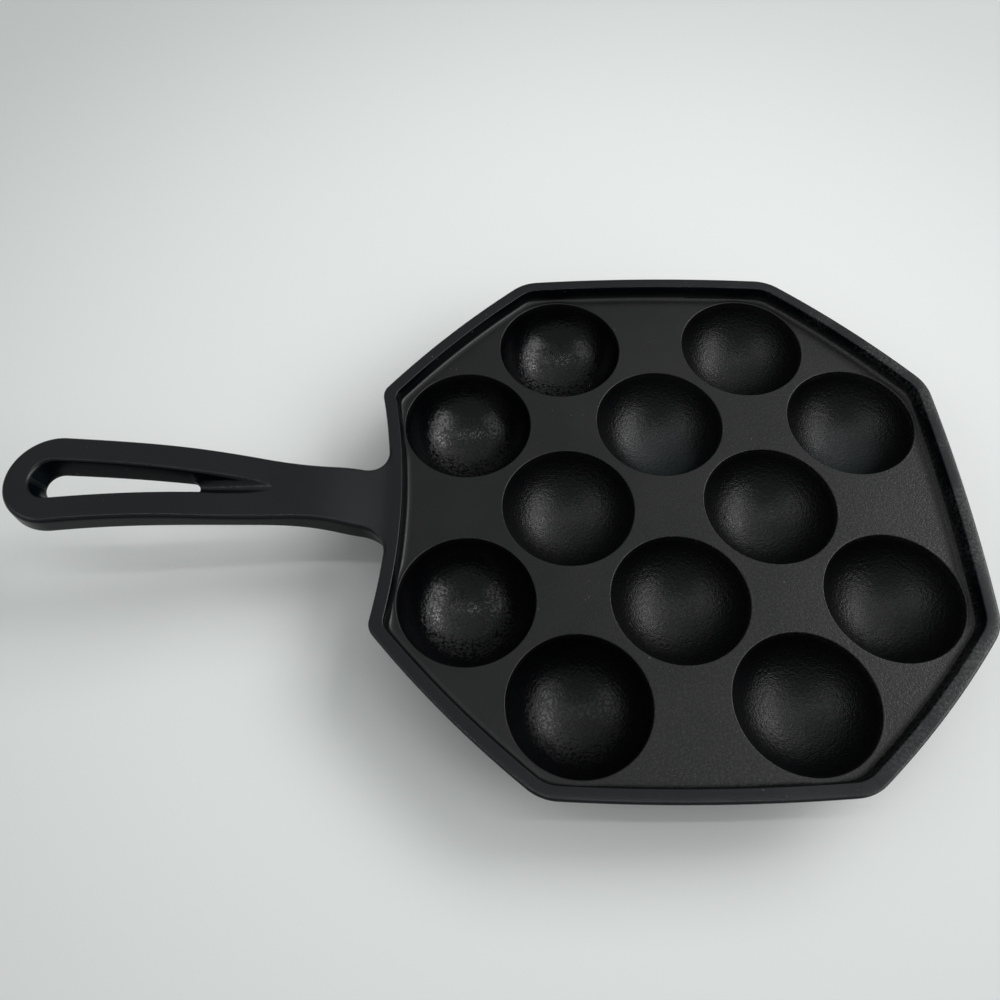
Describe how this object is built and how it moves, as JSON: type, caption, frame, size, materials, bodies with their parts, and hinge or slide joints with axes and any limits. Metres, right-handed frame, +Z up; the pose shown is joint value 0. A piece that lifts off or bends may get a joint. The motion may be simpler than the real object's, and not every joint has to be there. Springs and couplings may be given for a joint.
{
  "type": "aebleskiver pan",
  "caption": "Octagonal cast-iron pan with ball-shaped wells in a flat deck, a low raised rim and a rising one-piece handle with a long slot, for baking filled batter balls.",
  "frame": {"origin": "on the surface that the pan stands on, under the middle of its overall box", "axes": "+X along the pan from the handle to the far side, +Z up out of the wells, +Y to the left seen from the handle's end"},
  "size_m": [0.317, 0.1994, 0.0459],
  "materials": {
    "seasoned_iron": "near-black seasoned cast iron with a fine sand grain, satin"
  },
  "bodies": {
    "root": {"rim": "seasoned_iron", "griddle_deck": "seasoned_iron", "handle_neck": "seasoned_iron", "handle_grip": "seasoned_iron", "cup_01": "seasoned_iron", "cup_02": "seasoned_iron", "cup_03": "seasoned_iron", "cup_04": "seasoned_iron", "cup_05": "seasoned_iron", "cup_06": "seasoned_iron", "cup_07": "seasoned_iron", "cup_08": "seasoned_iron", "cup_09": "seasoned_iron", "cup_10": "seasoned_iron", "cup_11": "seasoned_iron", "cup_12": "seasoned_iron"}
  },
  "joints": []
}
